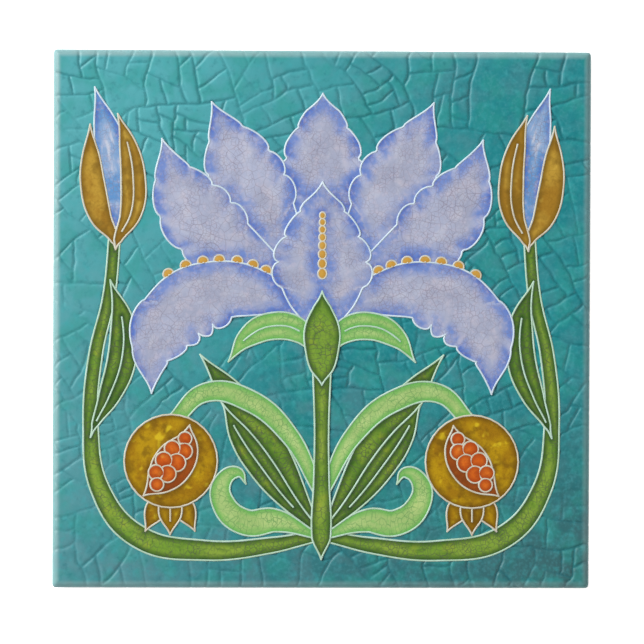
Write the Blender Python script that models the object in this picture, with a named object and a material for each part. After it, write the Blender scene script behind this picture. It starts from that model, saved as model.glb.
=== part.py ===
"""A moulded art nouveau wall tile: one fired clay solid, lying on its back with its face up.

Run with: blender --background --python part.py
"""

import math

import bmesh
import bpy
from mathutils import Matrix

MM = 0.001

# The tile's section. It is a six inch tile, three eighths of an inch thick over the relief.
TILE_SIDE = 152.4 * MM
TILE_THICKNESS = 9.5 * MM
RELIEF_HEIGHT = 0.6 * MM
FACE_LEVEL = TILE_THICKNESS - RELIEF_HEIGHT
CUSHION_RADIUS = 1.8 * MM
CUSHION_STEPS = 5
CORNER_RADIUS = 0.9 * MM
CORNER_STEPS = 3
SHARPEST_CORNER = 0.2 * MM
BACK_CHAMFER = 0.4 * MM

# The keying grooves in the back, which the bedding mortar grips.
GROOVE_COUNT = 12
GROOVE_PITCH = 11.0 * MM
GROOVE_WIDTH = 5.5 * MM
GROOVE_HALF_LENGTH = 64.0 * MM
GROOVE_DEPTH = 1.2 * MM
GROOVE_DRAFT = 0.4 * MM
CUT_CLEARANCE = 0.5 * MM

# The flower panel is pressed in low relief, one level above another.
LOWEST_LEVEL = 0.12 * MM
TOP_LEVEL = 6
LEVEL_STEP = (RELIEF_HEIGHT - LOWEST_LEVEL) / TOP_LEVEL
RELIEF_ROOT = 0.5 * MM
SECTIONS_PER_SPAN = 3
WELD_DISTANCE = 0.01 * MM
FRUIT_SIDES = 28

# Each form is a strip along a smooth centre line, given as (x, y, half width) in millimetres.
# A pair is made again on the other side of the tile's middle line.
PAIR = (1, -1)
SINGLE = (1,)
FORMS = {
    "bud_stem": (0, PAIR, ((2, -61.5, 1.6), (14, -64, 2.2), (33, -65.5, 2.8), (52, -61.5, 3.2),
                           (62.5, -48.5, 2.7), (65.4, -30, 2.1), (64, -10, 1.9), (60.4, 6, 1.7),
                           (58.6, 24, 1.6))),
    "side_leaf": (1, PAIR, ((64.2, -30, 0.8), (60.2, -22, 3), (56.6, -11, 4), (56.6, 0, 3),
                            (60, 11, 0))),
    "bud_heart": (0, PAIR, ((58.5, 26, 2), (58.5, 38, 5.2), (60, 49, 4.6), (62.3, 58, 2.4),
                            (64.5, 65.5, 0))),
    "outer_sheath": (1, PAIR, ((58.6, 22, 1), (62.8, 29, 3), (65, 38, 3.4), (65.6, 47, 2.2),
                               (65.8, 55, 0))),
    "inner_sheath": (2, PAIR, ((58, 22, 1), (54.2, 30, 3), (53.6, 40, 3.4), (55.3, 50, 2.2),
                               (58, 58, 0))),
    "top_petal": (0, SINGLE, ((0, 8, 4), (0, 24, 8.4), (0, 38, 10.4), (0, 50, 8.6), (0, 59, 4),
                              (0, 64, 0))),
    "upper_petal": (1, PAIR, ((3, 8, 3), (12.5, 23, 7.2), (20.4, 37, 9.6), (25.8, 49, 6.8),
                              (31.5, 61.5, 0))),
    "middle_petal": (2, PAIR, ((5, 7, 3), (20, 16.5, 6.6), (33, 26.5, 9), (41, 38, 6.4),
                               (45.5, 51, 0))),
    "falling_petal": (3, PAIR, ((5, 3, 3), (18, 7.5, 6.4), (30, 8, 8.4), (41, 2.6, 9),
                                (47.6, -8, 6.2), (48.2, -21, 0))),
    "front_petal": (4, SINGLE, ((0, -4, 3), (0, 4, 9), (0, 14, 12.2), (0, 24, 9.8), (0, 33, 4.6),
                                (0, 39, 0))),
    "long_leaf": (1, PAIR, ((1, -60, 1.2), (8, -49, 3.6), (14.5, -38, 5.2), (21, -27.5, 4.8),
                            (28, -18, 2.8), (34.5, -10, 0))),
    "fruit_stalk": (2, PAIR, ((1, -48, 1.6), (9, -33, 2.5), (20.5, -23, 3), (33, -20.8, 2.6),
                              (42, -29, 2))),
    "leaf_fold": (3, PAIR, ((1, -60, 0.8), (9.5, -51.5, 2.4), (17, -42, 3.6), (23.5, -32.5, 2.8),
                            (28, -24, 0))),
    "ribbon": (4, PAIR, ((2, -61, 1), (13, -57, 3.2), (21.5, -57.5, 3.6), (27.6, -52.5, 3.2),
                         (28, -46, 2.4), (23.6, -43.4, 1.4), (21.4, -46.6, 0))),
    "sepal": (4, PAIR, ((0.5, -10, 1.4), (6, -3.5, 3.2), (13.5, -1.8, 3.8), (21, -5, 2.8),
                        (26.5, -12, 0))),
    "calyx": (5, SINGLE, ((0, -16, 2), (0, -9, 4.4), (0, -2, 4.8), (0, 4, 2.2), (0, 8, 0))),
    "main_stem": (6, SINGLE, ((0, -68, 0), (0, -62, 2.6), (0, -46, 2.2), (0, -30, 2),
                              (0, -12, 2.6))),
    "outer_crown": (2, PAIR, ((44.9, -51, 2.6), (47.4, -55, 2.8), (49.8, -60, 0))),
    "inner_crown": (2, PAIR, ((40.6, -51, 2.6), (38.2, -55, 2.8), (35.8, -60, 0))),
    "middle_crown": (3, PAIR, ((42.8, -50, 3), (42.8, -56, 3), (42.8, -61, 0))),
}
FRUIT_LEVEL = 4
FRUIT_CENTRE = (42.7 * MM, -40.2 * MM)
FRUIT_RADIUS = 13.2 * MM
SPLIT_LEVEL = 5
SPLIT = ((37.4, -30, 0), (38.6, -35.4, 3.8), (42, -41, 5.6), (46.2, -46.2, 3.8), (50.4, -50, 0))

CLAY = {"colour": (0.80, 0.72, 0.60, 1.0), "roughness": 0.35}


def clear_scene():
    for obj in list(bpy.data.objects):
        bpy.data.objects.remove(obj)


def make_material(name, colour, roughness):
    material = bpy.data.materials.new(name)
    material.use_nodes = True
    shader = material.node_tree.nodes["Principled BSDF"]
    shader.inputs["Base Color"].default_value = colour
    shader.inputs["Roughness"].default_value = roughness
    shader.inputs["Metallic"].default_value = 0.0
    return material


def add_object(name, bm):
    mesh = bpy.data.meshes.new(name)
    bm.to_mesh(mesh)
    bm.free()
    obj = bpy.data.objects.new(name, mesh)
    bpy.context.scene.collection.objects.link(obj)
    return obj


def rounded_square(half_side, corner_radius):
    """Points anticlockwise round a square whose corners are arcs."""
    points = []
    centre = half_side - corner_radius
    for quarter in range(4):
        for step in range(CORNER_STEPS + 1):
            angle = math.radians(90) * (quarter + step / CORNER_STEPS)
            side_x = 1 if quarter in (0, 3) else -1
            side_y = 1 if quarter in (0, 1) else -1
            x = side_x * centre + corner_radius * math.cos(angle)
            y = side_y * centre + corner_radius * math.sin(angle)
            points.append((x, y))
    return points


def section_rings():
    """(inset from the side, height) of each ring from the back's edge up over the cushion edge."""
    rings = [(BACK_CHAMFER, 0.0), (0.0, BACK_CHAMFER)]
    for step in range(CUSHION_STEPS + 1):
        angle = math.radians(90) * step / CUSHION_STEPS
        inset = CUSHION_RADIUS * (1 - math.cos(angle))
        height = FACE_LEVEL - CUSHION_RADIUS * (1 - math.sin(angle))
        rings.append((inset, height))
    return rings


def make_body():
    """The pressed clay slab, square with a cushion edge."""
    bm = bmesh.new()
    loops = []
    for inset, height in section_rings():
        corner = max(CORNER_RADIUS - inset, SHARPEST_CORNER)
        outline = rounded_square(TILE_SIDE / 2 - inset, corner)
        loops.append([bm.verts.new((x, y, height)) for x, y in outline])
    for lower, upper in zip(loops, loops[1:]):
        for i in range(len(lower)):
            j = (i + 1) % len(lower)
            bm.faces.new((lower[i], lower[j], upper[j], upper[i]))
    bm.faces.new(reversed(loops[0]))
    bm.faces.new(loops[-1])
    return add_object("tile", bm)


def make_groove_cutter(number):
    """A groove's hollow, a little narrower at its floor than at the back's surface."""
    centre_y = (number - (GROOVE_COUNT - 1) / 2) * GROOVE_PITCH
    slope = GROOVE_DRAFT / GROOVE_DEPTH
    bm = bmesh.new()
    rings = []
    for height in (-CUT_CLEARANCE, GROOVE_DEPTH):
        half_x = GROOVE_HALF_LENGTH - slope * height
        half_y = GROOVE_WIDTH / 2 - slope * height
        corners = ((-half_x, -half_y), (half_x, -half_y), (half_x, half_y), (-half_x, half_y))
        rings.append([bm.verts.new((x, centre_y + y, height)) for x, y in corners])
    lower, upper = rings
    for i in range(4):
        j = (i + 1) % 4
        bm.faces.new((lower[i], lower[j], upper[j], upper[i]))
    bm.faces.new(reversed(lower))
    bm.faces.new(upper)
    return add_object(f"groove_cutter_{number + 1}", bm)


def level_top(level):
    return FACE_LEVEL + LOWEST_LEVEL + LEVEL_STEP * level


def evaluated_mesh(obj):
    """The object's mesh with its modifiers applied."""
    bpy.context.view_layer.update()
    evaluated = obj.evaluated_get(bpy.context.evaluated_depsgraph_get())
    return bpy.data.meshes.new_from_object(evaluated)


def make_centre_line(name, points, side):
    """A flat curve through the points, whose radius is the form's half width."""
    curve = bpy.data.curves.new(name, "CURVE")
    curve.dimensions = "2D"
    curve.use_radius = True
    curve.use_stretch = True
    curve.use_deform_bounds = True
    spline = curve.splines.new("BEZIER")
    spline.radius_interpolation = "CARDINAL"
    spline.bezier_points.add(len(points) - 1)
    for knot, (x, y, half_width) in zip(spline.bezier_points, points):
        knot.co = (side * x * MM, y * MM, 0)
        knot.radius = half_width
        knot.handle_left_type = knot.handle_right_type = "AUTO"
    obj = bpy.data.objects.new(name, curve)
    bpy.context.scene.collection.objects.link(obj)
    return obj


def make_form(name, level, points, side):
    """A flat-topped strip that follows its centre line, rooted in the slab."""
    sections = SECTIONS_PER_SPAN * (len(points) - 1)
    bm = bmesh.new()
    rows = [
        [bm.verts.new((step * MM, edge * MM, 0)) for edge in (-1, 1)] for step in range(sections + 1)
    ]
    for (a, b), (d, c) in zip(rows, rows[1:]):
        bm.faces.new((a, d, c, b))
    form = add_object(name, bm)
    line = make_centre_line(f"{name}_line", points, side)
    follow = form.modifiers.new("follow", "CURVE")
    follow.object = line
    weld = form.modifiers.new("weld", "WELD")
    weld.merge_threshold = WELD_DISTANCE
    body = form.modifiers.new("body", "SOLIDIFY")
    body.thickness = level_top(level) - FACE_LEVEL + RELIEF_ROOT
    body.offset = -1
    form.data = evaluated_mesh(form)
    form.modifiers.clear()
    form.data.transform(Matrix.Translation((0, 0, level_top(level))))
    bpy.data.objects.remove(line)
    return form


def make_fruit(side):
    bm = bmesh.new()
    bottom = FACE_LEVEL - RELIEF_ROOT
    depth = level_top(FRUIT_LEVEL) - bottom
    place = Matrix.Translation((side * FRUIT_CENTRE[0], FRUIT_CENTRE[1], bottom + depth / 2))
    bmesh.ops.create_cone(bm, cap_ends=True, segments=FRUIT_SIDES, radius1=FRUIT_RADIUS,
                          radius2=FRUIT_RADIUS, depth=depth, matrix=place)
    return add_object("fruit", bm)


def apply_boolean(target, other, operation):
    """Cuts other from target, or joins it on, then removes other."""
    modifier = target.modifiers.new(operation.lower(), "BOOLEAN")
    modifier.operation = operation
    modifier.object = other
    modifier.solver = "EXACT"
    result = evaluated_mesh(target)
    target.modifiers.clear()
    target.data = result
    bpy.data.objects.remove(other)


def main():
    clear_scene()
    tile = make_body()
    for number in range(GROOVE_COUNT):
        apply_boolean(tile, make_groove_cutter(number), "DIFFERENCE")
    for name, (level, sides, points) in FORMS.items():
        for side in sides:
            apply_boolean(tile, make_form(name, level, points, side), "UNION")
    for side in PAIR:
        apply_boolean(tile, make_fruit(side), "UNION")
        apply_boolean(tile, make_form("split", SPLIT_LEVEL, SPLIT, side), "UNION")
    tile.data.materials.clear()
    tile.data.materials.append(make_material("glazed_clay", **CLAY))
    tile.data.shade_smooth()
    tile.data.set_sharp_from_angle(angle=math.radians(30))


main()
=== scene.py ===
"""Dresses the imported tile: a crackled turquoise ground, raised slip lines and coloured glazes inside them."""

import math
import random

import bmesh
import bpy
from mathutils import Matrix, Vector, noise
from mathutils.bvhtree import BVHTree
from mathutils.kdtree import KDTree


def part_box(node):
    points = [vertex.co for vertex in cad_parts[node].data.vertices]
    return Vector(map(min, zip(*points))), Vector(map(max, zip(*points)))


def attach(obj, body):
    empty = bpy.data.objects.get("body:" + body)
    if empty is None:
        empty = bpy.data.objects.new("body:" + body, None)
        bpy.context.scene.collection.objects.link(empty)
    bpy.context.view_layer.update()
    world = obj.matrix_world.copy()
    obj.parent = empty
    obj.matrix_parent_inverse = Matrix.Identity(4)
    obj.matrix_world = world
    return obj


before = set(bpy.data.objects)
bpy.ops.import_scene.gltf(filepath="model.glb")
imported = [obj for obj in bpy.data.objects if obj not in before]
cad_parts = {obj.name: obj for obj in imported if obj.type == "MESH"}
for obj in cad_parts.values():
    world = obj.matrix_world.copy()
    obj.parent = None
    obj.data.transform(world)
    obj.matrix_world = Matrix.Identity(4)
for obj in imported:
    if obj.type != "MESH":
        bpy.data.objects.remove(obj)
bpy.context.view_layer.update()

MM = 0.001

# The clay body, as pressed.
TILE_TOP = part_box("tile")[1].z
TILE_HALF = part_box("tile")[1].x
PANEL_HEIGHT = 0.6 * MM
FACE_LEVEL = TILE_TOP - PANEL_HEIGHT
LOWEST_LEVEL = 0.47 * MM
LEVEL_STEP = 0.035 * MM
CUSHION_RADIUS = 1.8 * MM

# The ground glaze is a thin skin over the face, the cushion edge and the top of the sides.
SKIN = 0.45 * MM
SIDE_SKIN = 0.06 * MM
SIDE_RUN = 2.6 * MM
SIDE_RUN_WAVE = 0.9 * MM
LONG_WAVE = 9 * MM
SHORT_WAVE = 3 * MM
SHORT_WAVE_SHARE = 0.4
LIP_SINK = 0.05 * MM
CORNER_SQUARENESS = 4
GROUND_SWELL = 0.025 * MM
SWELL_SIZE = 7 * MM

# Its faces are divided once beside the cracks and in a band round the edge, and once more at the cracks.
GROUND_CELL = 1.3 * MM
NEAR_CRACK = 1.4 * MM
AT_CRACK = 0.9 * MM
EDGE_BAND = 1 * MM

# How the face cracks into cells. A crack is 1 square where it meets another at a right angle, and turns
# up to so many degrees from the straight way across its cell.
CRACK_SEED = 7
SMALLEST_CELL = 15 * MM * MM
LARGEST_CELL = 100 * MM * MM
NARROWEST_CELL = 3.1 * MM
PATCH_SIZE = 34 * MM
CRACK_TRIES = 40
CRACK_TURN = 45
OFF_CENTRE = 0.35
LEAST_SQUARE = 0.82
FIRST_LEAST_SQUARE = 0.6
FIRST_CELL = 2000 * MM * MM
ALONG_AN_EDGE = 0.8
JUNCTION_SPACE = 2.5 * MM
CORNER_SPACE = 9 * MM
MARGIN_CLEARANCE = 2.0 * MM
CRACK_STEP = 0.15 * MM

# Where in the noise each thing is read, so that none follows another.
BEND_X_SEED = 3.1
BEND_Y_SEED = 8.7
SIDE_SEED = 5
STRENGTH_SEED = 0.02
WIDTH_SEED = 6.3

# The bends of a crack, large and small: how long they are and how far they stray.
BENDS = ((34 * MM, 7.5 * MM), (6 * MM, 0.9 * MM), (2.4 * MM, 0.35 * MM))
BENDS_FADE = 6 * MM

# How a crack is pressed in: a narrow hollow between wide, shallow shoulders.
CRACK_DEPTH = 0.36 * MM
CRACK_HALF_WIDTH = 0.62 * MM
WIDTH_SWING = 0.5
WIDTH_PATCH = 11 * MM
SHOULDER_WIDTH = 1.7 * MM
SHOULDER_SHARE = 0.14
HOLLOW_SHARE = 0.86
SHARE_ON_SIDE = 0.15
MEAN_STRENGTH = 0.84
STRENGTH_SWING = 0.6
STRENGTH_PATCH = 14 * MM
STRONGER_UPWARD = 0.12
STRONGER_RIGHTWARD = 0.14
WEAKEST_CRACK = 0.4
STRONGEST_CRACK = 1.05

# Coloured glazes lie on the pressed forms, inside trailed slip lines. The crown is for each millimetre of
# half width.
CROWN = 0.0026 * MM
COLUMN_LENGTH = 0.6
ROWS = 12
DOME_SIDES = 32
DOME_RINGS = 12
FRUIT_HEIGHT = 0.025 * MM
LOBE_ROOT = 0.55 * MM
NOTCH_SLANT = 0.1
ROW_TOLERANCE = 0.01
TOUCH = 0.0001 * MM
WELD = 0.02 * MM
SMOOTH_UP_TO = math.radians(40)
TONE_SEED = 11
DOWN = Vector((0, 0, -1))

# Beads: a dwindling row up the front petal, and a row that the falling petal half hides. In millimetres
# but for heights.
BEAD_HEIGHT = 0.12 * MM
BEAD_LIFT = 0.03 * MM
BEAD_TONE = 0.5
BEADS_IN_ROW = 8
ROW_FOOT = 11.6
FIRST_BEAD = 1.45
BEAD_DWINDLE = 0.94
BEAD_NARROWING = 0.84
SIDE_BEAD = 1.5
SIDE_BEAD_FLATNESS = 0.95
SIDE_BEAD_OUT = 0.25
SIDE_BEAD_SINK = 0.01 * MM
SIDE_ROW_START = 13
SIDE_ROW_END = 35
SEED_STEP = 0.01 * MM

# Slip lines.
LINE_RADIUS = 0.29 * MM
LINE_FLATNESS = 0.5
LINE_SINK = 0.05 * MM
LINE_SEGMENT = 0.35 * MM
SECTION_STEPS = 2
TIP_RADIUS = LINE_RADIUS * 1.04
SHARP_TURN = 0.6

# How every glaze takes the light.
GLAZE_ROUGHNESS = 0.42
GLAZE_COAT = 0.08
COAT_ROUGHNESS = 0.2
SPECULAR = 0.2
GLAZE_DARKNESS = 0.9

# Each form is a strip along a smooth centre line, given as (x, y, half width) in millimetres,
# and is listed from the back to the front: name, glaze, level, points. The fruit alone is a dome,
# given as x, y and half its width and height.
FORMS = [
    ("bud_stem", "stems", 0, ((2, -61.5, 1.6), (14, -64, 2.2), (33, -65.5, 2.8), (52, -61.5, 3.2),
                              (62.5, -48.5, 2.7), (65.4, -30, 2.1), (64, -10, 1.9), (60.4, 6, 1.7),
                              (58.6, 25.4, 1.6))),
    ("side_leaf", "leaves", 1, ((65.4, -33.5, 0), (64.2, -30, 0.9), (60.2, -22, 3), (56.6, -11, 4),
                                (56.6, 0, 3), (60, 11, 0))),
    ("bud_heart", "bud_hearts", 0, ((58.5, 26, 2), (58.5, 38, 5.2), (60, 49, 4.6), (62.3, 58, 2.4),
                                    (64.5, 65.5, 0))),
    ("outer_sheath", "sheaths", 1, ((58.5, 19.6, 0), (58.7, 22, 1), (62.8, 29, 3), (65, 38, 3.4),
                                    (65.6, 47, 2.2), (65.8, 55, 0))),
    ("inner_sheath", "sheaths", 2, ((58.5, 19.6, 0), (58, 22, 1), (54.2, 30, 3), (53.6, 40, 3.4),
                                    (55.3, 50, 2.2), (58, 58, 0))),
    ("top_petal", "petals", 0, ((0, 8, 4), (0, 24, 8.4), (0, 38, 10.4), (0, 50, 8.6), (0, 59, 4),
                                (0, 64, 0))),
    ("upper_petal", "petals", 1, ((3, 8, 3), (12.5, 23, 7.2), (20.4, 37, 9.6), (25.8, 49, 6.8),
                                  (31.5, 61.5, 0))),
    ("middle_petal", "petals", 2, ((5, 7, 3), (20, 16.5, 6.6), (33, 26.5, 9), (41, 38, 6.4),
                                   (45.5, 51, 0))),
    ("falling_petal", "petals", 3, ((5, 3, 3), (18, 7.5, 6.4), (30, 8, 8.4), (41, 2.6, 9),
                                    (47.6, -8, 6.2), (48.2, -21, 0))),
    ("front_petal", "petals", 4, ((0, -4, 3), (0, 4, 9), (0, 14, 12.2), (0, 24, 9.8), (0, 33, 4.6),
                                  (0, 39, 0))),
    ("long_leaf", "leaves", 1, ((1, -60, 1.2), (8, -49, 3.6), (14.5, -38, 5.2), (21, -27.5, 4.8),
                                (28, -18, 2.8), (34.5, -10, 0))),
    ("fruit_stalk", "lime", 2, ((1, -48, 1.6), (9, -33, 2.5), (20.5, -23, 3), (33, -20.8, 2.6),
                                (42, -29, 2))),
    ("leaf_fold", "leaves", 3, ((1, -60, 0.8), (9.5, -51.5, 2.4), (17, -42, 3.6), (23.5, -32.5, 2.8),
                                (28, -24, 0))),
    ("ribbon", "lime", 4, ((2, -61, 1), (13, -57, 3.2), (21.5, -57.5, 3.6), (27.6, -52.5, 3.2),
                           (28, -46, 2.4), (23.6, -43.4, 1.4), (21.4, -46.6, 0))),
    ("sepal", "lime", 4, ((0.5, -10, 1.4), (6, -3.5, 3.2), (13.5, -1.8, 3.8), (21, -5, 2.8),
                          (26.5, -12, 0))),
    ("main_stem", "stems", 5, ((0, -68, 0), (0, -62, 2.6), (0, -46, 2.2), (0, -30, 2),
                               (0, -12, 2.6))),
    ("calyx", "stems", 6, ((0, -18.5, 0), (0, -14.5, 3), (0, -9, 4.6), (0, -2, 4.8), (0, 4, 2.2),
                           (0, 8, 0))),
    ("outer_crown", "fruits", 2, ((44.9, -51, 2.6), (47.4, -55, 2.8), (49.8, -60, 0))),
    ("inner_crown", "fruits", 2, ((40.6, -51, 2.6), (38.2, -55, 2.8), (35.8, -60, 0))),
    ("middle_crown", "fruits", 3, ((42.8, -50, 3), (42.8, -56, 3), (42.8, -61, 0))),
    ("fruit", "fruits", 4, (42.7, -40.2, 13.2, 13.2)),
    ("split", "splits", 5, ((37.4, -30, 0), (38.6, -35.4, 3.8), (42, -41, 5.6), (46.2, -46.2, 3.8),
                            (50.4, -50, 0))),
]

# Lobes along a strip's edges: form, side, start and end along it, how many, how deep.
SCALLOPS = [
    ("top_petal", 0, 0.36, 0.98, 4, 0.2),
    ("upper_petal", 0, 0.40, 0.98, 4, 0.22),
    ("middle_petal", 0, 0.40, 0.98, 4, 0.22),
    ("falling_petal", -1, 0.34, 0.98, 5, 0.24),
    ("falling_petal", 1, 0.66, 0.98, 2, 0.14),
    ("front_petal", 0, 0.30, 0.97, 4, 0.17),
]

# Forms with a line along the middle, and the parts of the length at which it starts and ends.
MIDRIBS = {
    "side_leaf": (0.1, 0.78),
    "leaf_fold": (0.2, 0.86),
    "sepal": (0.25, 0.8),
    "inner_sheath": (0.12, 0.8),
    "middle_crown": (0.1, 0.7),
}

# The lines round each glaze.
FAMILIES = {"petals": "blue", "bud_hearts": "blue", "stems": "green", "leaves": "green", "lime": "green",
            "sheaths": "ochre", "fruits": "ochre", "splits": "ochre"}

# Seeds in the split fruit: x, y and radius in millimetres.
SEEDS = [(38.7, -33.8, 1.9), (38.9, -37.4, 2.3), (42.3, -36.6, 2.2), (41.0, -40.6, 2.5),
         (44.7, -39.9, 2.3), (43.6, -43.8, 2.4), (46.9, -43.4, 2.1), (46.6, -46.8, 1.9)]


def deselect():
    bpy.ops.object.select_all(action="DESELECT")


def select_only(obj):
    deselect()
    obj.select_set(True)
    bpy.context.view_layer.objects.active = obj


def edit(obj, mode="VERT"):
    bpy.context.view_layer.objects.active = obj
    obj.select_set(True)
    bpy.ops.object.mode_set(mode="EDIT")
    bpy.ops.mesh.select_mode(type=mode)


def edit_all(obj):
    """Opens an object with all of it selected."""
    edit(obj)
    bpy.ops.mesh.select_all(action="SELECT")


def leave_edit():
    bpy.ops.object.mode_set(mode="OBJECT")
    deselect()


def pick(obj, kind, test):
    """In edit mode, selects only the verts, edges or faces that pass the test. Says how many."""
    mesh = bmesh.from_edit_mesh(obj.data)
    bpy.ops.mesh.select_all(action="DESELECT")
    count = 0
    for item in getattr(mesh, kind):
        if test(item):
            item.select = True
            count += 1
    mesh.select_flush_mode()
    bmesh.update_edit_mesh(obj.data)
    return count


def pick_rim(obj):
    """Selects the open edges round a sheet."""
    bpy.ops.mesh.select_mode(type="EDGE")
    return pick(obj, "edges", lambda edge: edge.is_boundary)


def apply_modifiers(obj):
    select_only(obj)
    for modifier in list(obj.modifiers):
        bpy.ops.object.modifier_apply(modifier=modifier.name)
    deselect()


def joined(name, pieces):
    """One object of all the pieces."""
    deselect()
    for piece in pieces:
        piece.select_set(True)
    bpy.context.view_layer.objects.active = pieces[0]
    if len(pieces) > 1:
        bpy.ops.object.join()
    pieces[0].name = name
    pieces[0].data.name = name
    deselect()
    return pieces[0]


def with_twin(piece):
    """The piece, joined by its mirror image across the tile's middle line."""
    select_only(piece)
    bpy.ops.object.duplicate()
    twin = bpy.context.object
    edit_all(twin)
    bpy.ops.transform.resize(value=(-1, 1, 1), center_override=(0, 0, 0))
    bpy.ops.mesh.flip_normals()
    leave_edit()
    return joined(piece.name, [piece, twin])


def level_top(level):
    return FACE_LEVEL + LOWEST_LEVEL + LEVEL_STEP * level


# The ground glaze.

def inside_cell(point, cell):
    """True where the point is left of every side of an anticlockwise cell."""
    for a, b in zip(cell, cell[1:] + cell[:1]):
        if (b - a).cross(point - a) < 0:
            return False
    return True


def cell_area(cell):
    return 0.5 * sum(a.cross(b) for a, b in zip(cell, cell[1:] + cell[:1]))


def halves(cell, point, normal):
    """The two parts of a convex cell on either side of a line."""
    parts = ([], [])
    for a, b in zip(cell, cell[1:] + cell[:1]):
        da, db = (a - point).dot(normal), (b - point).dot(normal)
        parts[da > 0].append(a)
        if (da > 0) != (db > 0):
            cut = a.lerp(b, da / (da - db))
            parts[0].append(cut)
            parts[1].append(cut)
    return parts


def crack_ends(cell, point, normal):
    """Where a crack meets the cell's sides, each with how squarely it meets them."""
    ends = []
    for a, b in zip(cell, cell[1:] + cell[:1]):
        da, db = (a - point).dot(normal), (b - point).dot(normal)
        if (da > 0) != (db > 0):
            ends.append((a.lerp(b, da / (da - db)), abs((b - a).normalized().dot(normal))))
    return ends


def choose_crack(cell, junctions, margin, rng):
    """(point, normal) of a crack across the cell's long way, or None where the cell holds.

    No crack runs along the cushion edge."""
    centre = sum(cell, Vector((0, 0))) / len(cell)
    patch = min(max(0.5 + noise.noise(Vector((*centre, 0)) / PATCH_SIZE), 0), 1)
    if cell_area(cell) < SMALLEST_CELL + (LARGEST_CELL - SMALLEST_CELL) * patch * rng.random():
        return None
    least_square = FIRST_LEAST_SQUARE if cell_area(cell) > FIRST_CELL else LEAST_SQUARE
    reach, long_way = max(((p - centre).length, tuple(p - centre)) for p in cell)
    for _ in range(CRACK_TRIES):
        angle = math.atan2(long_way[1], long_way[0]) + math.radians(rng.uniform(-CRACK_TURN, CRACK_TURN))
        normal = Vector((math.cos(angle), math.sin(angle)))
        point = centre + normal * reach * rng.uniform(-OFF_CENTRE, OFF_CENTRE)
        ends = crack_ends(cell, point, normal)
        if len(ends) != 2 or min(square for _, square in ends) < least_square:
            continue
        if any((end - place).length < space for end, _ in ends for place, space in junctions):
            continue
        along_edge = [axis for axis in (0, 1) if abs(normal[axis]) > ALONG_AN_EDGE]
        if any(abs(end[axis]) > margin for end, _ in ends for axis in along_edge):
            continue
        widths = []
        for part in halves(cell, point, normal):
            along = [p.dot(normal) for p in part]
            widths.append(max(along) - min(along))
        if min(widths) > NARROWEST_CELL:
            junctions.extend((end, JUNCTION_SPACE) for end, _ in ends)
            return point, normal
    return None


def cut_cracks(sheet, half, margin, rng):
    """Cuts the flat sheet into cells, the longest cracks first, and marks the cracks as seams."""
    corners = [Vector((x * half, y * half)) for x, y in ((-1, -1), (1, -1), (1, 1), (-1, 1))]
    cells = [corners]
    junctions = [(corner, CORNER_SPACE) for corner in corners]
    while cells:
        cell = cells.pop(0)
        crack = choose_crack(cell, junctions, margin, rng)
        if crack is None:
            continue
        point, normal = crack
        bpy.ops.mesh.select_mode(type="FACE")
        pick(sheet, "faces", lambda face: inside_cell(face.calc_center_median().xy, cell))
        bpy.ops.mesh.bisect(plane_co=(*point, 0), plane_no=(*normal, 0))
        bpy.ops.mesh.select_mode(type="EDGE")
        bpy.ops.mesh.mark_seam()
        cells.extend(halves(cell, point, normal))


def wander(place):
    """How far a crack strays from straight at a place on the sheet."""
    stray = Vector((0, 0, 0))
    for size, reach in BENDS:
        spot = Vector((place.x, place.y, 0)) / size
        stray.x += reach * noise.noise(spot + Vector((0, 0, BEND_X_SEED)))
        stray.y += reach * noise.noise(spot + Vector((0, 0, BEND_Y_SEED)))
    return stray


def over_cushion(place, flat, radius):
    """Where a point of the flat sheet lies once it is pressed over the cushion edge."""
    beyond = Vector((max(abs(place.x) - flat, 0), max(abs(place.y) - flat, 0)))
    reach = (beyond.x ** CORNER_SQUARENESS + beyond.y ** CORNER_SQUARENESS) ** (1 / CORNER_SQUARENESS)
    if reach == 0:
        return Vector((place.x, place.y, FACE_LEVEL + SKIN + place.z))
    way = beyond / reach
    arc = radius * math.pi / 2
    turn = min(reach, arc) / radius
    sunk = place.z * (math.cos(turn) ** 2 + SHARE_ON_SIDE * math.sin(turn))
    out = radius * math.sin(turn) + sunk * math.sin(turn)
    drop = radius * (1 - math.cos(turn)) + max(reach - arc, 0) - sunk * math.cos(turn)
    x = math.copysign(min(abs(place.x), flat) + way.x * out, place.x)
    y = math.copysign(min(abs(place.y), flat) + way.y * out, place.y)
    if reach > arc:
        wave = noise.noise(Vector((x, y, 0)) / LONG_WAVE)
        wave += SHORT_WAVE_SHARE * noise.noise(Vector((x, y, SIDE_SEED)) / SHORT_WAVE)
        drop += SIDE_RUN_WAVE * wave * (reach - arc) / SIDE_RUN
    return Vector((x, y, FACE_LEVEL + SKIN - drop))


def crack_net(half, margin):
    """A tree of places all along the cracks, on the flat sheet."""
    bpy.ops.mesh.primitive_plane_add(size=2 * half)
    net = bpy.context.object
    edit(net)
    cut_cracks(net, half, margin, random.Random(CRACK_SEED))
    bpy.ops.mesh.select_all(action="SELECT")
    bpy.ops.mesh.delete(type="ONLY_FACE")
    pick(net, "edges", lambda edge: not edge.seam)
    bpy.ops.mesh.delete(type="EDGE")
    while pick(net, "edges", lambda edge: edge.calc_length() > CRACK_STEP):
        bpy.ops.mesh.subdivide(number_cuts=1)
    leave_edit()
    tree = KDTree(len(net.data.vertices))
    for number, vert in enumerate(net.data.vertices):
        inset = margin + MARGIN_CLEARANCE - max(abs(vert.co.x), abs(vert.co.y))
        tree.insert(vert.co + wander(vert.co) * min(max(inset / BENDS_FADE, 0), 1), number)
    tree.balance()
    bpy.data.objects.remove(net)
    return tree


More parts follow.
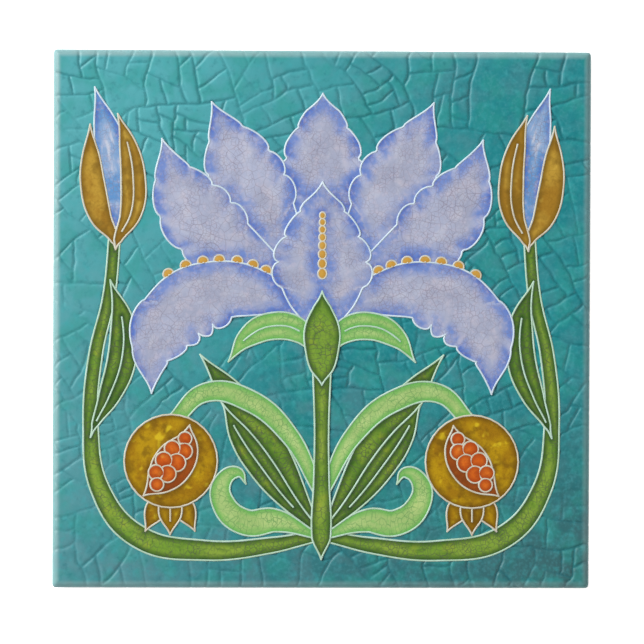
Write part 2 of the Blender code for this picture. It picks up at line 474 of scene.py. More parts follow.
def crack_strength(place):
    """Some stretches of a crack are deep and some hardly show. They are deeper to the upper right."""
    cloud = noise.noise(Vector((place.x, place.y, STRENGTH_SEED)) / STRENGTH_PATCH)
    slope = (STRONGER_UPWARD * place.y + STRONGER_RIGHTWARD * place.x) / TILE_HALF
    strength = MEAN_STRENGTH + STRENGTH_SWING * cloud + slope
    return min(max(strength, WEAKEST_CRACK), STRONGEST_CRACK)


def dip(part):
    """1 at nothing, 0 from one on, and a smooth slope between."""
    return 0.5 + 0.5 * math.cos(math.pi * min(part, 1))


def crack_depth(place, net):
    """How deep the ground is pressed at a place: 1 along the middle of a strong crack, 0 away from cracks."""
    gap = net.find(place)[2]
    swing = WIDTH_SWING * noise.noise(place / WIDTH_PATCH + Vector((0, 0, WIDTH_SEED)))
    hollow = dip(gap / (CRACK_HALF_WIDTH * (1 + swing)))
    return crack_strength(place) * (HOLLOW_SHARE * hollow + SHOULDER_SHARE * dip(gap / SHOULDER_WIDTH))


def hidden(face, covers):
    """True where the forms hide all of a face's corners."""
    return all(any(tree.ray_cast(Vector((vert.co.x, vert.co.y, 1)), DOWN)[0] for tree in covers)
               for vert in face.verts)


def lay_ground(covers):
    """The ground glaze: a flat sheet, fine where it cracks, pressed over the face and its cushion edge.

    It stays coarse where the forms hide it."""
    flat = TILE_HALF - CUSHION_RADIUS
    radius = CUSHION_RADIUS + SIDE_SKIN
    half = flat + radius * math.pi / 2 + SIDE_RUN
    net = crack_net(half, flat - MARGIN_CLEARANCE)
    cells = round(2 * half / GROUND_CELL)
    bpy.ops.mesh.primitive_grid_add(x_subdivisions=cells, y_subdivisions=cells, size=2 * half)
    sheet = bpy.context.object
    sheet.name = "ground_glaze"
    edit(sheet, "FACE")
    for reach, border in ((NEAR_CRACK, flat - EDGE_BAND), (AT_CRACK, half)):
        pick(sheet, "faces", lambda face: (max(map(abs, face.calc_center_median().xy)) > border
                                           or net.find(face.calc_center_median())[2] < reach)
             and not hidden(face, covers))
        bpy.ops.mesh.subdivide(number_cuts=1)
    mesh = bmesh.from_edit_mesh(sheet.data)
    layer = mesh.verts.layers.float.new("crack")
    for vert in mesh.verts:
        vert[layer] = crack_depth(vert.co, net)
        swell = GROUND_SWELL * (noise.noise(vert.co / SWELL_SIZE) - 1)
        vert.co.z = swell - CRACK_DEPTH * vert[layer]
        vert.co = over_cushion(vert.co, flat, radius)
    mesh.normal_update()
    bmesh.update_edit_mesh(sheet.data)
    pick_rim(sheet)
    inward = (TILE_HALF - LIP_SINK) / (TILE_HALF + SIDE_SKIN)
    bpy.ops.mesh.extrude_edges_move()
    bpy.ops.transform.resize(value=(inward, inward, 1), center_override=(0, 0, 0))
    leave_edit()
    sheet.data.shade_smooth()
    return sheet


# The pressed forms, their glazes and the slip lines round them.

def centre_line(points):
    """A flat curve whose radius is the form's half width in millimetres. Returns it and its length."""
    deselect()
    bpy.ops.curve.primitive_bezier_curve_add(radius=MM)
    line = bpy.context.object
    curve = line.data
    curve.dimensions = "2D"
    curve.use_radius = curve.use_stretch = curve.use_deform_bounds = True
    spline = curve.splines[0]
    spline.radius_interpolation = "CARDINAL"
    spline.bezier_points.add(len(points) - 2)
    for knot, (x, y, half_width) in zip(spline.bezier_points, points):
        knot.co = (x * MM, y * MM, 0)
        knot.radius = half_width
        knot.handle_left_type = knot.handle_right_type = "AUTO"
    return line, spline.calc_length() / MM


def note(piece, name, value_at):
    """Keeps a number at each vertex, for the glaze to read."""
    layer = piece.data.attributes.new(name, "FLOAT", "POINT")
    layer.data.foreach_set("value", [value_at(vert.co) for vert in piece.data.vertices])


def scallop(strip, side, start, end, lobes, depth):
    """Swells round lobes out of a strip's edge. Side is 1 for its left edge, -1 for its right, 0 for both."""
    half = (end - start) / lobes * MM
    columns = sorted({vert.co.x for vert in bmesh.from_edit_mesh(strip.data).verts})
    for lobe in range(lobes):
        middle = (2 * start - 1) * MM + (2 * lobe + 1) * half
        column = min(columns, key=lambda x: abs(x - middle))
        pick(strip, "verts", lambda vert: abs(vert.co.x - column) < TOUCH
             and (side == 0 or vert.co.y * side > LOBE_ROOT))
        bpy.ops.transform.resize(value=(1, 1 + depth, 1), center_override=(column, 0, 0),
                                 use_proportional_edit=True, proportional_edit_falloff="SPHERE",
                                 proportional_size=half)


def notch_near(name, co):
    """1 on a line that runs in from the notch between two lobes, 0 on a lobe's middle line. The petal glaze
    paints a highlight along it.
    """
    nearest = 0
    for form, side, start, end, lobes, _ in SCALLOPS:
        part = (co.x / MM + 1) / 2 + NOTCH_SLANT * (1 - abs(co.y) / MM)
        if form == name and start < part < end and (side == 0 or co.y * side > 0):
            nearest = abs((part - start) / (end - start) * lobes % 1 - 0.5) * 2
    return nearest


def take_line(piece, test):
    """Copies the chosen edges of a piece to an object of their own."""
    edit(piece, "EDGE")
    pick(piece, "edges", test)
    bpy.ops.mesh.duplicate()
    bpy.ops.mesh.separate(type="SELECTED")
    bpy.ops.object.mode_set(mode="OBJECT")
    line = next(obj for obj in bpy.context.selected_objects if obj != piece)
    deselect()
    return line


def take_rib(strip, start, end):
    """Copies a strip's middle row between two places along it."""
    across, along = (strip.data.attributes[key].data for key in ("across", "along"))
    on_rib = {vert.index for vert in strip.data.vertices
              if abs(across[vert.index].value) < ROW_TOLERANCE and start < along[vert.index].value < end}
    return take_line(strip, lambda edge: all(vert.index in on_rib for vert in edge.verts))


def add_skirt(piece):
    """Takes the rim of a form straight down to the face."""
    edit(piece)
    pick_rim(piece)
    bpy.ops.mesh.extrude_edges_move()
    bpy.ops.transform.resize(value=(1, 1, 0), center_override=(0, 0, FACE_LEVEL))
    leave_edit()


def press_strip(name, level, points):
    """A crowned form along its centre line. Returns its surface and its lines."""
    line, length = centre_line(points)
    deselect()
    bpy.ops.mesh.primitive_grid_add(x_subdivisions=round(length / COLUMN_LENGTH),
                                    y_subdivisions=ROWS, size=2 * MM)
    strip = bpy.context.object
    strip.name = name
    note(strip, "along", lambda co: (co.x / MM + 1) / 2 * length)
    note(strip, "across", lambda co: co.y / MM)
    note(strip, "notch", lambda co: notch_near(name, co))
    edit(strip)
    pick(strip, "verts", lambda vert: abs(vert.co.y) < TOUCH)
    bpy.ops.transform.translate(value=(0, 0, CROWN), use_proportional_edit=True,
                                proportional_edit_falloff="SPHERE", proportional_size=1 * MM)
    for form, side, start, end, lobes, depth in SCALLOPS:
        if form == name:
            scallop(strip, side, start, end, lobes, depth)
    leave_edit()
    follow = strip.modifiers.new("follow", "CURVE")
    follow.object = line
    apply_modifiers(strip)
    bpy.data.objects.remove(line)
    edit_all(strip)
    bpy.ops.mesh.remove_doubles(threshold=WELD)
    bpy.ops.transform.translate(value=(0, 0, level_top(level)))
    leave_edit()
    lines = [take_line(strip, lambda edge: edge.is_boundary)]
    if name in MIDRIBS:
        start, end = MIDRIBS[name]
        lines.append(take_rib(strip, start * length, end * length))
    return strip, lines


def press_dome(name, x, y, half_x, half_y, bottom, height, turn=0, cut=None):
    """A round form: the upper half of a ball, pressed flat. Returns its surface and its line.

    A cut, given as a place and a direction, keeps only the part that lies that way."""
    deselect()
    bpy.ops.mesh.primitive_uv_sphere_add(segments=DOME_SIDES, ring_count=DOME_RINGS, radius=1 * MM)
    dome = bpy.context.object
    dome.name = name
    edit_all(dome)
    bpy.ops.mesh.bisect(plane_co=(0, 0, 0), plane_no=(0, 0, 1), clear_inner=True)
    leave_edit()
    note(dome, "along", lambda co: co.y / MM * half_y)
    note(dome, "across", lambda co: co.xy.length / MM)
    edit_all(dome)
    bpy.ops.transform.resize(value=(half_x, half_y, height / MM), center_override=(0, 0, 0))
    bpy.ops.transform.rotate(value=turn, orient_axis="Z", center_override=(0, 0, 0))
    bpy.ops.transform.translate(value=(x * MM, y * MM, bottom))
    if cut:
        bpy.ops.mesh.select_all(action="SELECT")
        bpy.ops.mesh.bisect(plane_co=cut[0], plane_no=cut[1], clear_inner=True)
    leave_edit()
    return dome, [take_line(dome, lambda edge: edge.is_boundary and all(
        not cut or (vert.co - cut[0]).dot(cut[1]) > TOUCH for vert in edge.verts))]


def lay(glaze, family, paired, pressed, tone):
    """Adds a form to the panel, over all those laid before it."""
    piece, lines = pressed
    note(piece, "tone", lambda co: tone)
    places = [vert.co for vert in piece.data.vertices]
    tree = BVHTree.FromPolygons(places, [face.vertices for face in piece.data.polygons])
    add_skirt(piece)
    panel.append({"glaze": glaze, "family": family, "paired": paired, "piece": piece,
                  "lines": lines, "tree": tree})


def is_covered(place, trees):
    """True where a form laid later hides a place, on either side of the tile's middle line."""
    for x in (place.x, -place.x):
        above = Vector((x, place.y, 1))
        if any(tree.ray_cast(above, DOWN)[0] for tree in trees):
            return True
    return False


def clear_covered(line, trees):
    """Divides a line finely and takes away what lies under later forms."""
    edit(line, "EDGE")
    pick(line, "edges", lambda edge: edge.calc_length() > LINE_SEGMENT)
    bpy.ops.mesh.subdivide(number_cuts=1)
    bpy.ops.mesh.select_mode(type="VERT")
    if pick(line, "verts", lambda vert: is_covered(vert.co, trees)):
        bpy.ops.mesh.delete(type="VERT")
    leave_edit()


def sharp_ends(line):
    """Places where a line turns back on itself, at the tip of a form."""
    mesh = bmesh.new()
    mesh.from_mesh(line.data)
    tips = []
    for vert in mesh.verts:
        if len(vert.link_edges) == 2:
            ways = [(edge.other_vert(vert).co - vert.co).normalized() for edge in vert.link_edges]
            if ways[0].dot(-ways[1]) < SHARP_TURN:
                tips.append(vert.co.copy())
    mesh.free()
    return tips


def slip_section():
    """The rounded, flattened section of a line of slip."""
    deselect()
    bpy.ops.curve.primitive_bezier_circle_add(radius=LINE_RADIUS)
    section = bpy.context.object
    section.data.resolution_u = SECTION_STEPS
    bpy.ops.object.mode_set(mode="EDIT")
    bpy.ops.curve.select_all(action="SELECT")
    bpy.ops.transform.resize(value=(1, LINE_FLATNESS, 1), center_override=(0, 0, 0))
    bpy.ops.object.mode_set(mode="OBJECT")
    deselect()
    return section


def trail_slip(name, lines, section):
    """Turns bare lines into a raised bead of slip, with a rounded blob at each tip."""
    slip = joined(name, lines)
    tips = sharp_ends(slip)
    select_only(slip)
    bpy.ops.object.convert(target="CURVE")
    slip.data.twist_mode = "Z_UP"
    slip.data.bevel_mode = "OBJECT"
    slip.data.bevel_object = section
    slip.data.use_fill_caps = True
    bpy.ops.object.convert(target="MESH")
    slip = bpy.context.object
    edit_all(slip)
    bpy.ops.mesh.normals_make_consistent(inside=False)
    for tip in tips:
        bpy.ops.mesh.primitive_ico_sphere_add(subdivisions=2, radius=TIP_RADIUS, location=tip)
        bpy.ops.transform.resize(value=(1, 1, LINE_FLATNESS), center_override=tip)
    bpy.ops.mesh.select_all(action="SELECT")
    bpy.ops.transform.translate(value=(0, 0, -LINE_SINK))
    leave_edit()
    slip.data.shade_smooth()
    return slip


def note_edges(piece, rims):
    """Keeps how far each vertex is from the nearest line, in millimetres."""
    note(piece, "edge", lambda co: rims.find((co.x, co.y, 0))[2] / MM)


def lay_side_beads(strip):
    """A row of beads along the upper edge of a petal, which half hides them."""
    across, along = (strip.data.attributes[key].data for key in ("across", "along"))
    edge = sorted((along[vert.index].value, vert.co.copy()) for vert in strip.data.vertices
                  if across[vert.index].value > 1 - ROW_TOLERANCE)
    bead_end = SIDE_ROW_START
    for (place, spot), (_, ahead) in zip(edge, edge[1:]):
        if bead_end <= place < SIDE_ROW_END:
            bead_end = place + 2 * SIDE_BEAD
            way = (ahead - spot).normalized()
            outward = Vector((-way.y, way.x, 0))
            middle = spot + outward * SIDE_BEAD_OUT * SIDE_BEAD * MM
            bead = press_dome("side_bead", middle.x / MM, middle.y / MM, SIDE_BEAD,
                              SIDE_BEAD * SIDE_BEAD_FLATNESS, spot.z - SIDE_BEAD_SINK, BEAD_HEIGHT,
                              -math.atan2(way.y, way.x), (spot, outward))
            lay("beads", "ochre", True, bead, BEAD_TONE)


def lay_bead_row(bottom):
    """A row of beads up the tile's middle line, each smaller than the one below it."""
    y = ROW_FOOT
    for number in range(BEADS_IN_ROW):
        radius = FIRST_BEAD * BEAD_DWINDLE ** number
        bead = press_dome("bead", 0, y + radius, radius * BEAD_NARROWING, radius, bottom, BEAD_HEIGHT)
        lay("beads", "ochre", False, bead, BEAD_TONE)
        y += 2 * radius


def press_panel():
    """Lays every form and bead, from the back to the front."""
    rng = random.Random(TONE_SEED)
    strips = {name: press_strip(name, level, points) for name, _, level, points in FORMS if name != "fruit"}
    for name, glaze, level, points in FORMS:
        tone = rng.random()
        if name == "falling_petal":
            lay_side_beads(strips[name][0])
        if name == "fruit":
            paired = True
            pressed = press_dome(name, *points, level_top(level), FRUIT_HEIGHT)
        else:
            paired = points[0][0] != 0
            pressed = strips[name]
        lay(glaze, FAMILIES[glaze], paired, pressed, tone)
        if name == "front_petal":
            lay_bead_row(level_top(level) + BEAD_LIFT)
        if name == "split":
            for number, (x, y, radius) in enumerate(SEEDS):
                bottom = level_top(level) + SEED_STEP * number
                seed = press_dome("seed", x, y, radius, radius, bottom, BEAD_HEIGHT)
                lay("seeds", "ochre", True, seed, rng.random())


# Finishes.

class Signal:
    """A socket in a finish. Sums written with it become Math nodes."""

    def __init__(self, finish, socket):
        self.finish = finish
        self.socket = socket

    def worked(self, operation, *values):
        return self.finish.node("ShaderNodeMath", {"operation": operation}, dict(enumerate(values)))["Value"]

    def __add__(self, other):
        return self.worked("ADD", self, other)

    def __sub__(self, other):
        return self.worked("SUBTRACT", self, other)

    def __rsub__(self, other):
        return self.worked("SUBTRACT", other, self)

    def __mul__(self, other):
        return self.worked("MULTIPLY", self, other)

    def __abs__(self):
        return self.worked("ABSOLUTE", self)

    __radd__ = __add__
    __rmul__ = __mul__

    def at_most(self, limit):
        return self.worked("MINIMUM", self, limit)

    def or_more(self, other):
        return self.worked("MAXIMUM", self, other)

    def eased(self, low, high):
        """0 at low, 1 at high and a smooth step between."""
        return self.finish.node("ShaderNodeMapRange", {"interpolation_type": "SMOOTHSTEP"},
                                {"Value": self, "From Min": low, "From Max": high})["Result"]


class Finish:
    """A glaze or a clay body: one Principled shader and the nodes that feed it."""

    def __init__(self, name, roughness=GLAZE_ROUGHNESS, coat=GLAZE_COAT):
        self.material = bpy.data.materials.new(name)
        self.material.use_nodes = True
        self.shader = self.material.node_tree.nodes["Principled BSDF"]
        self.feed(self.shader, "Roughness", roughness)
        self.feed(self.shader, "Coat Weight", coat)
        self.feed(self.shader, "Coat Roughness", COAT_ROUGHNESS)
        self.feed(self.shader, "Specular IOR Level", SPECULAR)
        self.place = self.scaled(self.node("ShaderNodeTexCoord")["Object"], 1 / MM)

    def node(self, kind, settings=None, sockets=None):
        """Adds a node, makes its settings, then feeds its sockets. Returns its outputs by name."""
        node = self.material.node_tree.nodes.new(kind)
        for name, value in (settings or {}).items():
            setattr(node, name, value)
        for key, value in (sockets or {}).items():
            self.feed(node, key, value)
        return {socket.name: Signal(self, socket) for socket in node.outputs if socket.enabled}

    def feed(self, node, key, value):
        """Links a signal to a node's socket, or sets a plain value on it."""
        if isinstance(key, int):
            socket = node.inputs[key]
        else:
            socket = next(each for each in node.inputs if each.name == key and each.enabled)
        if isinstance(value, Signal):
            self.material.node_tree.links.new(value.socket, socket)
        else:
            socket.default_value = value

    def scaled(self, vector, factor):
        sockets = {0: vector, "Scale": factor}
        return self.node("ShaderNodeVectorMath", {"operation": "SCALE"}, sockets)["Vector"]

    def mixed(self, factor, first, second):
        return self.node("ShaderNodeMix", {"data_type": "RGBA"},
                         {"Factor": factor, "A": first, "B": second})["Result"]

    def noted(self, name):
        return self.node("ShaderNodeAttribute", {"attribute_name": name})["Fac"]

    def clouds(self, size, detail=2.0, seed=0.0, place=None):
        """Soft blotches about size millimetres across, from 0 to 1."""
        sockets = {"Vector": place or self.place, "W": seed, "Scale": 1 / size, "Detail": detail}
        return self.node("ShaderNodeTexNoise", {"noise_dimensions": "4D"}, sockets)["Fac"]

    def vector(self, x, y, z=0.0):
        return self.node("ShaderNodeCombineXYZ", None, {"X": x, "Y": y, "Z": z})["Vector"]

    def bent(self, place, size, amount):
        """A place moved about by slow noise, so that straight patterns wander."""
        sockets = {"Vector": place, "Scale": 1 / size, "Detail": 1.0}
        drift = self.scaled(self.node("ShaderNodeTexNoise", None, sockets)["Color"], amount)
        return self.node("ShaderNodeVectorMath", {"operation": "ADD"}, {0: place, 1: drift})["Vector"]

    def crazing(self, cell, width, place=None):
        """Hairlines round cells of a size in millimetres: 1 on a line, 0 away from it."""
        place = self.bent(place or self.place, cell * 1.7, cell * 0.9)
        gap = self.node("ShaderNodeTexVoronoi", {"feature": "DISTANCE_TO_EDGE", "voronoi_dimensions": "2D"},
                        {"Vector": place, "Scale": 1 / cell})["Distance"]
        lines = 1 - gap.eased(width / cell * 0.4, width / cell * 1.6)
        return lines * self.clouds(cell * 3, 1.0, 8.0).eased(0.3, 0.65)

    def rippled(self, height, depth):
        """Feeds a height from 0 to 1, and how deep it is in millimetres, to the surface."""
        bump = self.node("ShaderNodeBump", None, {"Height": height, "Distance": depth * MM, "Strength": 1.0})
        self.feed(self.shader, "Normal", bump["Normal"])

    def coloured(self, colour):
        """Feeds a colour to the surface. Returns the material, which is then done."""
        self.feed(self.shader, "Base Color", colour)
        return self.material


def seen(red, green, blue):
    """The colour that a glaze needs to look so, in 0 to 255, in the studio light."""
    linear = []
    for value in (red, green, blue):
        value /= 255
        value = value / 12.92 if value <= 0.04045 else ((value + 0.055) / 1.055) ** 2.4
        linear.append(value * GLAZE_DARKNESS)
    return (*linear, 1.0)


def turquoise_glaze():
    """Ground glaze: cloudy; paler at the upper left and duller below, partly painted light and shade and partly
    the glaze's own unevenness; darker in the cracks, where the glaze pools and shade is painted; thin at the
    edge, with the band painted paler on the upper and left sides.
    """
    f = Finish("turquoise_crackle_glaze")
    axes = f.node("ShaderNodeSeparateXYZ", None, {"Vector": f.place})
    x, y = axes["X"], axes["Y"]
    colour = f.mixed(f.clouds(34, 3.0).eased(0.35, 0.65), seen(35, 134, 140), seen(24, 126, 133))
    mottling = f.clouds(6, 3.0, 12.0).eased(0.42, 0.66) * (0.56 - x * 0.004)
    colour = f.mixed(mottling, colour, seen(86, 137, 146))
    # Painted light: paler towards the upper left, where the lamp is, mixed with the glaze's own cloudiness.
    painted_light_upper_left = (f.clouds(20, 2.0, 4.0) * 0.5 - x * 0.007 + y * 0.005).eased(0.14, 0.98)
    colour = f.mixed(painted_light_upper_left, colour, seen(84, 168, 174))
    # Painted shade: darker and duller towards the lower right, away from the lamp, mixed with the glaze's own
    # unevenness.
    painted_shade_lower_right = (x * 0.006 + 0.5) * (0 - y).eased(0, 85)
    colour = f.mixed(painted_shade_lower_right, colour, seen(60, 97, 99))
    lower_left = (0 - x - y * 0.5).eased(10, 110) * 0.35
    colour = f.mixed(lower_left, colour, seen(100, 146, 152))
    colour = f.mixed(f.clouds(9, 3.0, 26.0).eased(0.46, 0.62) * 0.45, colour, seen(44, 150, 140))
    colour = f.mixed(f.clouds(2.2, 3.0, 9.0).eased(0.45, 0.8) * 0.5, colour, seen(62, 166, 170))
    colour = f.mixed(f.clouds(0.9, 2.0, 17.0).eased(0.45, 0.7) * 0.25, colour, seen(82, 158, 166))
    colour = f.mixed(f.clouds(1.7, 3.0, 19.0).eased(0.52, 0.75) * 0.35, colour, seen(22, 104, 114))
    # Darker along the cracks: partly glaze pooled in them, partly painted shade in the hollows.
    colour = f.mixed(f.noted("crack").eased(0.3, 1.0) * 0.45, colour, seen(24, 100, 110))
    # The edge band is paler where the glaze runs thin. It is painted paler still on the upper and left sides,
    # as a painted highlight from the lamp.
    on_edge = abs(x).or_more(abs(y)).eased(TILE_HALF / MM - 2.5, TILE_HALF / MM - 1.1)
    thin_glaze_and_painted_light = 0.36 + 0.36 * f.clouds(3, 2.0, 2.0) + y * 0.0015 - x * 0.0015
    colour = f.mixed(on_edge * thin_glaze_and_painted_light, colour, seen(144, 174, 174))
    f.rippled(f.clouds(3.6, 2.0, 6.0) + f.clouds(0.9, 1.0, 5.0) * 0.1, 0.16)
    return f.coloured(colour)


def petal_finish(name, streaks, middle, bright, rim_blue):
    """Petals: pale lavender, deep blue round the rims, with pale streaks fanning to the edge, and a painted
    highlight running in from each notch between the lobes.
    """
    f = Finish(name)
    edge, along, across, tone = (f.noted(key) for key in ("edge", "along", "across", "tone"))
    colour = f.mixed(f.clouds(9, 3.0, 1.0).eased(0.35, 0.65), middle, bright)
    colour = f.mixed(tone * 0.4, colour, middle)
    slant = f.vector(along * 0.16 + tone * 30, across * 3.4)
    streak = f.node("ShaderNodeTexNoise", None, {"Vector": slant, "Scale": 1.0, "Detail": 3.0})["Fac"]
    outer = abs(across).eased(0.35, 1.0)
    # Painted highlight along the lines that run in from the notches: the rim blue is weakened there, and a pale
    # wash is laid towards the outer edge.
    notch = f.noted("notch").eased(0.55, 1.0)
    rim = (1 - edge.eased(0.2, 5.2)) * (0.4 + f.clouds(8, 3.0, 2.0).eased(0.38, 0.62)) * (1 - 0.6 * notch)
    rim = rim + streak.eased(0.5, 0.75) * outer * 0.4
    colour = f.mixed(streak.eased(0.5, 0.7) * streaks, colour, seen(220, 220, 226))
    colour = f.mixed(rim.at_most(0.88), colour, rim_blue)
    deep = (1 - edge.eased(0.3, 2.0)) * f.clouds(8, 2.0, 6.0).eased(0.4, 0.6)
    colour = f.mixed(deep * 0.8, colour, seen(68, 102, 188))
    # Painted highlight: the pale wash along the notch lines.
    colour = f.mixed(notch * outer * 0.55, colour, seen(200, 204, 220))
    mottling = f.clouds(4.6, 4.0, 15.0).eased(0.48, 0.7) * edge.eased(1.2, 4.0) * 0.5
    colour = f.mixed(mottling, colour, seen(196, 190, 202))
    colour = f.mixed(f.clouds(1.3, 3.0, 8.0).eased(0.46, 0.76) * 0.4, colour, seen(202, 192, 206))
    colour = f.mixed(f.crazing(1.15, 0.07) * 0.5, colour, seen(128, 114, 130))
    colour = f.mixed(f.crazing(2.6, 0.09) * 0.4, colour, seen(118, 106, 122))
    f.rippled(f.clouds(1.6, 2.0, 6.0), 0.02)
    return f.coloured(colour)


def leaf_finish(name, seed, middle, bright, dark, yellow):
    """Leaves: bright along the middle, dark at the edges, crazed mostly across the leaf."""
    f = Finish(name)
    edge, along, across, tone = (f.noted(key) for key in ("edge", "along", "across", "tone"))
    colour = f.mixed(f.clouds(7, 3.0, seed).eased(0.35, 0.65), middle, bright)
    colour = f.mixed(tone * 0.45, colour, middle)
    colour = f.mixed(f.clouds(5, 2.0, seed + 7).eased(0.55, 0.72) * 0.6, colour, yellow)
    veins = f.clouds(1.0, 3.0, seed + 9, f.vector(along * 0.25, across * 2.2 + tone * 40))
    colour = f.mixed(veins.eased(0.48, 0.7) * 0.4, colour, dark)
    shade = (1 - edge.eased(0.1, 2.2)) * (0.6 + 0.7 * f.clouds(3, 3.0, seed + 3))
    colour = f.mixed(shade.at_most(1.0), colour, dark)
    hairline = f.mixed(0.4, dark, seen(112, 100, 96))
    ticks = f.crazing(1.0, 0.055, f.vector(along * 0.75, across * 1.2 + tone * 40))
    colour = f.mixed(ticks * 0.65, colour, hairline)
    colour = f.mixed(f.crazing(1.5, 0.085) * 0.8, colour, hairline)
    colour = f.mixed(f.clouds(0.8, 1.0, seed + 5).eased(0.54, 0.76) * 0.35, colour, dark)
    f.rippled(f.clouds(1.6, 2.0, seed + 6), 0.02)
    return f.coloured(colour)


def ochre_finish(name, seed, middle, bright, dark, yellow):
    """Mottled ochre: yellow blotches, brown clouds and a dark edge."""
    f = Finish(name)
    edge, tone = f.noted("edge"), f.noted("tone")
    colour = f.mixed(f.clouds(5.5, 4.0, seed).eased(0.4, 0.6), middle, bright)
    colour = f.mixed(f.clouds(3.5, 4.0, seed + 8).eased(0.5, 0.68) * 0.6, colour, dark)
    colour = f.mixed(f.clouds(2.6, 1.0, seed + 1).eased(0.6, 0.74) * 0.8, colour, yellow)
    shade = (1 - edge.eased(0.1, 2.1)) * (0.5 + 0.6 * f.clouds(2.6, 3.0, seed + 3)) + tone * 0.1
    colour = f.mixed(shade.at_most(1.0), colour, dark)
    colour = f.mixed(f.clouds(0.8, 2.0, seed + 5).eased(0.5, 0.75) * 0.3, colour, dark)
    colour = f.mixed(f.crazing(1.6, 0.06) * 0.3, colour, dark)
    f.rippled(f.clouds(1.6, 2.0, seed + 6), 0.02)
    return f.coloured(colour)


def slip_finish(name, pale, deep):
    """Raised slip under clear glaze."""
    f = Finish(name)
    colour = f.mixed(f.clouds(2.4, 3.0, 1.0).eased(0.35, 0.7), pale, deep)
    f.rippled(f.clouds(0.9, 2.0, 3.0), 0.02)
    return f.coloured(colour)


def fired_clay():
    """The bare body on the sides and the back: buff, gritty, with iron specks."""
    f = Finish("fired_clay", roughness=0.85, coat=0.0)
    colour = f.mixed(f.clouds(16, 4.0).eased(0.3, 0.7), seen(184, 162, 130), seen(164, 140, 108))
    colour = f.mixed(f.clouds(0.5, 2.0, 3.0).eased(0.62, 0.72) * 0.55, colour, seen(112, 84, 60))
    colour = f.mixed(f.clouds(0.9, 2.0, 7.0).eased(0.6, 0.75) * 0.4, colour, seen(204, 190, 164))
    f.rippled(f.clouds(0.35, 3.0, 5.0), 0.09)
    return f.coloured(colour)


# For each glaze: its slot, how it is mixed, its name, how streaked it is or the seed of its clouds, and its
# colours as they look, in 0 to 255.
GLAZES = {
    "petals": ("petal_glaze", petal_finish, "lavender_glaze", 0.22,
               (162, 166, 188), (176, 182, 206), (104, 134, 202)),
    "bud_hearts": ("petal_glaze", petal_finish, "pale_blue_glaze", 0.8,
                   (150, 174, 206), (160, 184, 216), (88, 144, 200)),
    "stems": ("leaf_glaze", leaf_finish, "stem_glaze", 1,
              (116, 154, 50), (142, 168, 62), (48, 86, 32), (160, 172, 56)),
    "leaves": ("leaf_glaze", leaf_finish, "leaf_glaze", 12,
               (96, 136, 42), (128, 160, 52), (38, 74, 30), (152, 166, 48)),
    "lime": ("lime_glaze", leaf_finish, "lime_glaze", 23,
             (162, 192, 116), (184, 210, 134), (102, 178, 84), (190, 212, 130)),
    "sheaths": ("ochre_glaze", ochre_finish, "amber_glaze", 31,
                (164, 120, 34), (190, 150, 54), (118, 88, 22), (214, 176, 72)),
    "fruits": ("ochre_glaze", ochre_finish, "ochre_glaze", 41,
               (160, 116, 8), (186, 146, 12), (104, 72, 6), (220, 190, 34)),
    "beads": ("ochre_glaze", ochre_finish, "bead_glaze", 51,
              (210, 168, 74), (224, 186, 92), (194, 144, 60), (234, 202, 106)),
    "splits": ("orange_glaze", ochre_finish, "split_glaze", 61,
               (170, 78, 18), (190, 92, 22), (112, 58, 16), (196, 110, 30)),
    "seeds": ("orange_glaze", ochre_finish, "seed_glaze", 71,
              (210, 94, 20), (230, 122, 34), (160, 62, 16), (240, 168, 66)),
}

# The slip of each family of lines: its name, its pale colour and its deeper one.
SLIPS = {
    "blue": ("blue_white_slip", (210, 224, 232), (190, 208, 222)),
    "green": ("green_white_slip", (188, 216, 198), (172, 202, 172)),
    "ochre": ("cream_slip", (208, 206, 190), (198, 188, 164)),
}


# Laying it all out.

def find_rims():
    """A tree of places all along the lines, on both sides of the tile's middle line."""
    places = [vert.co for form in panel for line in form["lines"] for vert in line.data.vertices]
    tree = KDTree(2 * len(places))
    for number, place in enumerate(places):
        tree.insert((place.x, place.y, 0), 2 * number)
        tree.insert((-place.x, place.y, 0), 2 * number + 1)
    tree.balance()
    return tree


def dress_forms(rims):
    """One piece for each glaze. Returns what hides the ground."""
    forms = {}
    for form in panel:
        piece = with_twin(form["piece"]) if form["paired"] else form["piece"]
        forms.setdefault(form["glaze"], []).append(piece)
    covers = []
    for glaze, pieces in forms.items():
        slot, finish, name, variant, *colours = GLAZES[glaze]
        piece = joined(glaze, pieces)
        note_edges(piece, rims)
        piece.data.materials.append(finish(name, variant, *(seen(*colour) for colour in colours)))
        select_only(piece)
        bpy.ops.object.shade_smooth_by_angle(angle=SMOOTH_UP_TO)
        deselect()
        covers.append(BVHTree.FromObject(piece, bpy.context.evaluated_depsgraph_get()))
        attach(piece, "root")
    return covers


def trail_lines():
    """One piece for each family of lines."""
    families = {}
    for form in panel:
        for line in form["lines"]:
            if len(line.data.vertices) > 1:
                families.setdefault(form["family"], []).append(with_twin(line) if form["paired"] else line)
            else:
                bpy.data.objects.remove(line)
    section = slip_section()
    for family, lines in families.items():
        name, pale, deep = SLIPS[family]
        slip = trail_slip(f"{family}_lines", lines, section)
        slip.data.materials.append(slip_finish(name, seen(*pale), seen(*deep)))
        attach(slip, "root")
    bpy.data.objects.remove(section)


panel = []
press_panel()
trees = [form["tree"] for form in panel]
for number, form in enumerate(panel):
    for line in form["lines"]:
        clear_covered(line, trees[number + 1:])
covers = dress_forms(find_rims())
trail_lines()
ground = lay_ground(covers)
ground.data.materials.append(turquoise_glaze())
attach(ground, "root")
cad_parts["tile"].data.materials.clear()
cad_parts["tile"].data.materials.append(fired_clay())


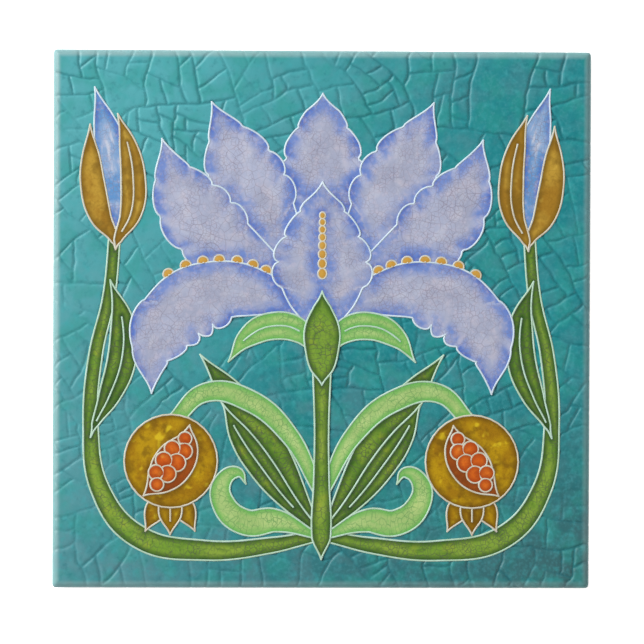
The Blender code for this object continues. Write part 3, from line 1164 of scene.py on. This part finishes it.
# The studio: a white floor, a broad soft lamp to the upper left and the camera overhead.

def lay_floor(size, drop, glow):
    bpy.ops.mesh.primitive_plane_add(size=size, location=(0, 0, 0))
    floor = bpy.context.object
    floor.name = "floor"
    edit_all(floor)
    bpy.ops.transform.translate(value=(0, 0, -drop))
    leave_edit()
    paper = Finish("white_paper", roughness=0.9, coat=0.0)
    paper.feed(paper.shader, "Emission Color", (1, 1, 1, 1))
    paper.feed(paper.shader, "Emission Strength", glow)
    white = paper.mixed(paper.clouds(60, 2.0), (0.86, 0.86, 0.86, 1), (0.9, 0.9, 0.9, 1))
    floor.data.materials.append(paper.coloured(white))
    return floor


def hang_lamp(name, place, size, watts):
    bpy.ops.object.light_add(type="AREA", location=place)
    lamp = bpy.context.object
    lamp.name = name
    lamp.data.shape = "SQUARE"
    lamp.data.size = size
    lamp.data.energy = watts
    lamp.visible_camera = False
    lamp.rotation_euler = (Vector((0, 0, 0)) - Vector(place)).to_track_quat("-Z", "Y").to_euler()
    deselect()


def set_camera(place, tilt, lens):
    """The camera, tilted by three angles in degrees, with a lens in millimetres."""
    bpy.ops.object.camera_add(location=place)
    camera = bpy.context.object
    camera.name = "camera"
    camera.rotation_euler = [math.radians(angle) for angle in tilt]
    camera.data.lens = lens
    camera.data.sensor_width = 36
    camera.data.clip_start = 0.01
    bpy.context.scene.camera = camera


def light_the_air(colour, strength):
    world = bpy.data.worlds.new("studio")
    world.use_nodes = True
    background = world.node_tree.nodes["Background"]
    background.inputs["Color"].default_value = colour
    background.inputs["Strength"].default_value = strength
    bpy.context.scene.world = world


lay_floor(size=3, drop=0.2 * MM, glow=0.78)
hang_lamp("key_lamp", place=(-1.55, 0.88, 1.35), size=1.7, watts=85)
hang_lamp("fill_lamp", place=(1.2, -0.5, 1.0), size=1.2, watts=5)
light_the_air(colour=(0.92, 0.96, 1.0, 1), strength=0.17)
set_camera(place=(-0.03006, 0.01377, 1.0), tilt=(-0.8406, -1.7316, 0.2311), lens=195.54)
bpy.context.scene.view_settings.view_transform = "Standard"
